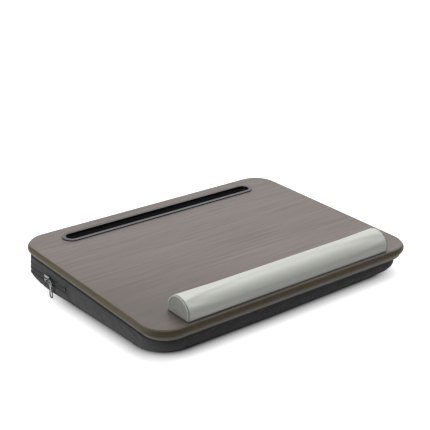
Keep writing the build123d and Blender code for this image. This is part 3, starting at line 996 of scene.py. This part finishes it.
class LAPDESK_OT_wrist_rest(bpy.types.Operator):
    """Make the padded wrist rest with its sewn ends"""
    bl_idname = "lapdesk.wrist_rest"
    bl_label = "Wrist rest"

    def execute(self, context):
        form = RestForm()
        step, rings, welt_rings, columns = 2.5 * MM, 10, 7, 120
        rows = form.rows(step, rings, welt_rings)
        grid = form.grid(rows, columns)
        travel = row_travel(grid)
        grid = grid + self.swell(form, travel, columns)
        grid, painted_shade, panel = self.sewn(form, rows, grid)
        across = form.section(columns)[2] * np.arange(columns + 1) / columns
        rest = closed_grid("wrist_rest", grid, form.poles(), across, travel, seam=painted_shade, panel=panel)
        paint(rest, material("leather_cloth", leather_cloth))
        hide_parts("wrist_rest_cover", "wrist_rest_foam",
                    "wrist_rest_end_left", "wrist_rest_end_right")
        rest_base = material("rest_base", moulded_plastic("liner", gloss=0.5, shift=0.1))
        repaint(rest_base, "wrist_rest_base", "wrist_rest_tape")
        return {"FINISHED"}

    def swell(self, form, travel, columns):
        """How far the padding moves the cover: a coarser cover is blown up, held at its seams and
        along the board, and its movement is carried to the fine grid."""
        step, rings, coarse = 5 * MM, 4, 40
        seam_room, board_room = 1.2 * MM, 2 * MM
        rows = form.rows(step, rings)
        grid = form.grid(rows, coarse)
        at_seam = np.abs(np.abs(rows[:, 0]) - form.seam) < seam_room
        at_board = form.section(coarse)[0].imag < board_room
        held = np.maximum(at_seam[:, None], at_board[None, :]).astype(float)
        moved = swollen(grid, form.poles(), held, slack=0.0, pressure=4.0, limit=form.look.swell_limit)
        down = row_travel(grid)
        down *= travel[-1] / down[-1]
        turn, coarse_turn = np.arange(columns) / columns, np.arange(coarse) / coarse
        return carried(moved, spread(travel, down), spread(turn, coarse_turn, 1.0))

    def sewn(self, form, rows, grid):
        """The grid with its seams drawn in, and two values on it: how much painted shade the leather takes,
        in a seam, at the welt and as a painted contact shadow along the board, and how much of it is an end
        panel, which takes painted shade too."""
        look = form.look
        board_room, end_reach, cover_reach = 1 * MM, 3 * MM, 2 * MM
        welt_width, panel_full, panel_edge = 0.03, 0.9, 1.04
        welt_shade, board_shadow = 0.15, 0.95
        line, normal, _ = form.section(grid.shape[1])
        outward = BOARD_REAR * normal.real[:, None] + BOARD_UP * normal.imag[:, None]
        on_end = rows[:, 1] >= look.end_roll
        gap = np.where(on_end, np.inf, np.abs(np.abs(rows[:, 0]) - form.seam))
        seam = np.exp(-(gap / look.seam_width) ** 2)[:, None] * (line.imag > board_room)[None, :]
        grid = grid - outward[None] * (seam * look.seam_depth)[..., None]
        # painted shade in the groove round the welt
        welt = welt_shade * on_end * np.exp(-((rows[:, 2] - look.welt_share) / welt_width) ** 2)
        reach = np.where(on_end, end_reach, cover_reach)[:, None]
        # painted contact shadow where the cover meets the board
        contact_shadow = board_shadow * np.exp(-((grid @ BOARD_UP - form.floor) / reach) ** 2)
        painted_shade = np.maximum(np.maximum(seam, welt[:, None]), contact_shadow)
        # share of the end panels' painted shade, fading out across the welt
        panel = on_end * np.clip((panel_edge - rows[:, 2]) / (panel_edge - panel_full), 0, 1)
        return grid, painted_shade, np.broadcast_to(panel[:, None], painted_shade.shape)


class LAPDESK_OT_cushion(bpy.types.Operator):
    """Make the wedge cushion: cover, seams and the recess for the zip"""
    bl_idname = "lapdesk.cushion"
    bl_label = "Cushion"

    def execute(self, context):
        form = CushionForm()
        step = 3 * MM
        s = clustered(0, form.length, step, form.tab_edges)[:-1]
        profile = self.profile(form)
        grid = form.grid(profile, s)
        grid = grid + self.swell(form, profile, s)
        grid, dark = self.sewn(form, profile, s, grid)
        across = np.append(s, form.length)
        cover = closed_grid("cushion_cover", grid, form.poles(), across, row_travel(grid), seam=dark)
        paint(cover, material("cover_fabric", cover_weave))
        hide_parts("cushion_foam", "cushion_top_panel", "cushion_bottom_panel", "cushion_boxing",
                    "gusset_tab_left", "gusset_tab_right", "gusset_upper", "gusset_lower")
        return {"FINISHED"}

    def profile(self, form):
        """Profile parameters of the rows, closer together at the lower seam and at the zip."""
        look = form.look
        roll_step = 0.1
        side_step = 2.2 * MM / (form.tab_top - look.roll_height)
        seam = 1 + math.acos(1 - look.seam_height / look.roll_height) / QUARTER
        under = np.linspace(0.1, 0.98, 9)
        roll = clustered(1, 2, roll_step, (seam,), roll_step)
        side = clustered(2, 3, side_step, form.zip_edges, side_step)[1:]
        upper = np.linspace(3, 4, 6)[1:]
        over = np.linspace(4.05, 4.9, 8)
        return np.concatenate([under, roll, side, upper, over])

    def swell(self, form, profile, s):
        """How far the filling moves the cloth: a coarser cover is blown up, held below, on top and
        round the zip, and its movement is carried to the fine grid."""
        columns, tab_room, zip_room = 360, 3 * MM, 0.1
        lowest, highest = 1.3, 3.3
        rows = np.concatenate([np.linspace(0.2, 0.9, 4), np.linspace(1, 2, 6), np.linspace(2, 3, 10)[1:],
                               np.linspace(3, 4, 4)[1:], [4.3, 4.6, 4.9]])
        places = np.linspace(0, form.length, columns + 1)[:-1]
        flat = (rows < lowest) | (rows > highest)
        beside = (rows > 2) & (rows < form.zip_edges[1] + zip_room)
        zone = np.maximum(form.in_zip(places), form.tab_gap(places) < tab_room)
        held = np.maximum(flat[:, None], beside[:, None] * zone[None, :]).astype(float)
        moved = swollen(form.grid(rows, places), form.poles(), held, slack=0.004, pressure=4.0,
                        limit=form.look.swell_limit)
        return carried(moved, spread(profile, rows), spread(s, places, form.length))

    def sewn(self, form, profile, s, grid):
        """The grid with the zip's recess, the folds beside it, seams and gathers, and how dark the cloth
        is: painted shade in the seams and along the upper edge under the board, and a darker zone round the
        zip."""
        look = form.look
        edge_room, edge_width = 0.1 * MM, 0.35 * MM
        fold_place, fold_width = 1.4 * MM, 1.6 * MM
        seam_low, seam_high, crowding = 1.1, 3.6, 1.7
        top_fade, top_shadow, zip_dark = 1.2 * MM, 2.0, 0.3
        height = grid[..., 2]
        zone = form.in_zip(s)[None, :] * ((profile > 2) & (profile < 3))[:, None]
        inside = np.minimum(height - form.zip_low, form.zip_high - height)
        share = np.clip((inside + edge_room) / edge_width, 0, 1)
        recess = look.zip_recess * zone * share ** 2 * (3 - 2 * share)
        fold = look.fold_height * zone * np.exp(-((inside + fold_place) / fold_width) ** 2) * (inside < 0)
        upright = ((profile > seam_low) & (profile < seam_high))[:, None]
        tab_seam = np.exp(-(form.tab_gap(s)[None, :] / look.seam_width) ** 2) * upright
        rolled = look.roll_height * (1 - np.cos(QUARTER * np.clip(profile - 1, 0, 1)))
        hem = np.abs(rolled - look.seam_height)[:, None]
        hem_seam = np.exp(-(hem / look.seam_width) ** 2) * ((profile > 1) & (profile < 2))[:, None]
        # seams: drawn in, and also painted with shade
        seam = np.maximum(tab_seam, hem_seam)
        drift = crowding * np.sin(TURN * s / look.gather_drift)
        wave = np.sin(TURN * s / look.gather_length + drift)[None, :]
        gather = look.pucker * wave * np.exp(-(hem / look.gather_reach) ** 2)
        gather = gather * (profile > seam_low)[:, None]
        drop = form.top_height(grid[..., 1]) - height
        # painted shade along the upper edge, in the gap under the board
        edge = top_shadow * np.clip((look.top_shadow_height - drop) / top_fade, 0, 1) * (profile > 2)[:, None]
        grid = grid + form.outward(s)[None] * (fold + gather - recess - look.seam_depth * seam)[..., None]
        grid[..., 2] = np.maximum(grid[..., 2], 0)
        return grid, np.maximum(seam + zip_dark * zone, edge)


class LAPDESK_OT_zip(bpy.types.Operator):
    """Make the zip: two tapes, two rows of teeth and the stitches beside them"""
    bl_idname = "lapdesk.zip"
    bl_label = "Zip"

    def execute(self, context):
        form = CushionForm()
        cloth = material("zip_tape", plain_cloth("tape", "zip"))
        dark_nylon = material("nylon_coil", nylon)
        for side, row in ((-1, "lower"), (1, "upper")):
            front = form.half - np.abs(node_points("zip_tape_" + row)[:, 0]).max()
            self.tape(form, row, front, cloth)
            self.teeth(form, row, side, front, dark_nylon)
        self.stitches(form)
        repaint(material("slider_metal", plated_metal(slider_groove_shade)), "zip_slider")
        repaint(material("pull_metal", plated_metal(pull_tip)), "zip_pull")
        repaint(material("dark_metal", plated_metal(all_dark)), "zip_link", "zip_end_stops")
        return {"FINISHED"}

    def tape(self, form, row, front, finish):
        """A flat woven strip: a rectangle carried along the plan."""
        thick, count = 0.8 * MM, 420
        gap = settings().zip.tape_gap
        height = node_points("zip_tape_" + row)[:, 2]
        low, high = height.min() + gap, height.max() - gap
        places = np.linspace(form.tab_end, form.length - form.tab_end, count)
        corners = ((high, front), (high, front + thick), (low, front + thick), (low, front))
        rings = np.stack([form.skin(places, *corner) for corner in corners], 1)
        around = np.cumsum([0, thick, high - low, thick, high - low])
        strip = swept("zip_tape_" + row + "_cloth", rings, places, around)
        paint(strip, finish)
        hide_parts("zip_tape_" + row)

    def teeth(self, form, row, side, front, finish):
        """Rods from the edge of the tape to just past the middle of the chain, arched outward."""
        look = settings().zip
        past_middle, sunk, inner_depth, arch = 0.35, 0.2, 0.6, 0.25 * MM
        coil = node_points("zip_coil_" + row)[:, 2]
        stop = node_points("zip_end_stops")
        clear = form.side_place(stop[stop[:, 0] > 0][:, 1].max())
        places = np.arange(clear, form.length - clear, look.tooth_pitch) + (side > 0) * look.tooth_pitch / 2
        half = coil.max() - coil.min()
        depth = front - look.tooth_wire * sunk
        outer = form.skin(places, form.zip_middle + side * half, depth)
        inner = form.skin(places, form.zip_middle - side * past_middle * half, depth * inner_depth)
        made = bars("zip_teeth_" + row, rods(outer, inner, form.outward(places), look.tooth_wire, arch))
        paint(made, finish)
        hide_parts("zip_coil_" + row)

    def stitches(self, form):
        """Rows of short rods on the cloth: beside the tapes and up each tab."""
        look = settings().zip
        half, arch = look.stitch_length / 2, 0.08 * MM
        on_fold, on_tab = form.look.fold_height, 0.1 * MM
        rows = []
        run = np.arange(form.tab_end + look.stitch_pitch, form.length - form.tab_end, look.stitch_pitch)
        for height in (form.zip_low - look.stitch_inset, form.zip_high + look.stitch_inset):
            inset = form.lean(form.side_share(height)) - on_fold
            rows.append((form.skin(run - half, height, inset), form.skin(run + half, height, inset),
                         form.outward(run)))
        climb = np.arange(form.look.roll_height, form.tab_top, look.stitch_pitch)
        inset = form.lean(form.side_share(climb)) - on_tab
        for edge in (form.tab_start - look.stitch_inset, form.tab_end - look.stitch_inset):
            for s in (edge, form.length - edge):
                where = np.full(len(climb), s)
                rows.append((form.skin(where, climb - half, inset), form.skin(where, climb + half, inset),
                             form.outward(where)))
        starts, ends, outward = (np.concatenate(part) for part in zip(*rows))
        made = bars("cover_stitches", rods(starts, ends, outward, look.stitch_wire, arch))
        paint(made, material("thread", plain_cloth("thread", "cushion")))


class LAPDESK_OT_stage(bpy.types.Operator):
    """Make the floor, the light and the camera"""
    bl_idname = "lapdesk.stage"
    bl_label = "Stage"

    def execute(self, context):
        stage = settings().stage
        scene = context.scene
        scene.view_settings.view_transform = "Standard"
        self.floor(stage)
        self.world(scene, stage)
        self.lamp("overhead_light", stage.overhead_place, stage.overhead_aim, stage.overhead_width,
                  stage.overhead)
        self.lamp("left_light", stage.left_place, stage.left_aim, stage.left_width, stage.left)
        camera = bpy.data.cameras.new("camera")
        camera.lens = stage.lens
        camera.sensor_width = stage.sensor
        holder = bpy.data.objects.new("camera", camera)
        holder.location = stage.camera_place
        holder.rotation_euler = stage.camera_turn
        scene.collection.objects.link(holder)
        scene.camera = holder
        return {"FINISHED"}

    def lamp(self, name, where, aim, width, power):
        """A square soft light that looks at a height above the middle of the floor."""
        light = bpy.data.lights.new(name, "AREA")
        light.size = width
        light.energy = power
        holder = bpy.data.objects.new(name, light)
        holder.location = where
        holder.rotation_euler = (Vector(where) - Vector((0, 0, aim))).to_track_quat("Z", "Y").to_euler()
        bpy.context.scene.collection.objects.link(holder)

    def seen(self, start):
        """1 for rays that show the background: from the camera, a reflection or through glass."""
        path = start.node("LightPath").socket.node.outputs
        shown = Value(start.tree, path["Is Camera Ray"]) + Value(start.tree, path["Is Glossy Ray"])
        return start.math("MINIMUM", shown + Value(start.tree, path["Is Transmission Ray"]), 1.0)

    def beyond_cushion(self, start):
        """How far a point of the floor lies outside the cushion's underside, a rectangle with wide
        corners: the length of what is left of the offset past the straight sides, less the radius.
        Towards the raised front right corner the front side lies further in."""
        form = CushionForm()
        look = form.look
        inward = 1.4 * look.corner_lift
        middle, depth = (form.rear + form.front) / 2, (form.rear - form.front) / 2
        where = coordinate(start, "Object")
        across, along = (component(start, where, number) for number in (0, 1))
        along = along - ramp(start, across, form.half - 2 * look.lift_reach, form.half) * inward
        front = look.front_radius + look.front_tuck / 2 - look.roll_inset
        rear = look.rear_radius + look.rear_tuck - look.roll_inset
        radius = front + (along > middle) * (rear - front)
        over = [start.math("MAXIMUM", start.math("ABSOLUTE", value) - (half - look.roll_inset) + radius, 0.0)
                for value, half in ((across, form.half), (along - middle, depth))]
        return start.math("SQRT", over[0] * over[0] + over[1] * over[1]) - radius

    def floor(self, stage):
        """A wide pale plane that takes the shadow and is seen nearly white. The light added as it is seen
        fades out near the cushion, so the shadow is partly real and partly painted.
        """
        corners = stage.floor_reach * np.array([[-1, -1, 0], [1, -1, 0], [1, 1, 0], [-1, 1, 0]], float)
        ground = new_mesh("floor", corners - np.array([0, 0, stage.floor_drop]), [[0, 1, 2, 3]])
        made = bpy.data.materials.new("floor")
        start = empty_tree(made)
        matt = start.node("BsdfDiffuse", {"Color": (*stage.floor, 1.0)})
        beyond = self.beyond_cushion(start)
        near = ramp(start, beyond, stage.shadow_reach, stage.contact)
        far = ramp(start, beyond, stage.far_start, stage.far_end)
        # painted shadow: the added light is weaker near the cushion, which sets how far the shadow reaches
        shown = (1 - near * near * near) * stage.floor_lift + far * stage.far_lift
        lift = start.node("Emission", {"Strength": self.seen(start) * shown})
        start.node("OutputMaterial", {"Surface": start.node("AddShader", {0: matt, 1: lift})})
        ground.data.materials.append(made)

    def world(self, scene, stage):
        """Even light from all round, seen as white."""
        world = bpy.data.worlds.new("studio")
        start = empty_tree(world)
        seen = self.seen(start)
        strength = seen + (1 - seen) * stage.ambient
        sky = start.node("Background", {"Color": (1.0, 1.0, 1.0, 1.0), "Strength": strength})
        start.node("OutputWorld", {"Surface": sky})
        scene.world = world


class LAPDESK_PT_sidebar(bpy.types.Panel):
    """Steps and settings of the lap desk"""
    bl_idname = "LAPDESK_PT_sidebar"
    bl_label = "Lap Desk"
    bl_space_type = "VIEW_3D"
    bl_region_type = "UI"
    bl_category = "Lap Desk"

    def draw(self, context):
        for step in STEPS:
            self.layout.operator(step.bl_idname)
        for part in ("board", "rest", "cushion", "zip", "stage"):
            group = getattr(context.scene.lap_desk, part)
            box = self.layout.box()
            box.label(text=part.capitalize())
            for name in group.__annotations__:
                box.prop(group, name)


GROUPS = (LapDeskBoard, LapDeskRest, LapDeskCushion, LapDeskZip, LapDeskStage, LapDesk)
STEPS = (LAPDESK_OT_board, LAPDESK_OT_device_slot, LAPDESK_OT_wrist_rest, LAPDESK_OT_cushion,
         LAPDESK_OT_zip, LAPDESK_OT_stage)


def register():
    """Make the settings, steps and panel known to Blender."""
    for made in (*GROUPS, *STEPS, LAPDESK_PT_sidebar):
        bpy.utils.register_class(made)
    bpy.types.Scene.lap_desk = PointerProperty(type=LapDesk)


def unregister():
    """Take them out again."""
    del bpy.types.Scene.lap_desk
    for made in reversed((*GROUPS, *STEPS, LAPDESK_PT_sidebar)):
        bpy.utils.unregister_class(made)


def main():
    """Run every step in order."""
    register()
    for step in STEPS:
        group, name = step.bl_idname.split(".")
        getattr(getattr(bpy.ops, group), name)()


if __name__ == "__main__":
    main()
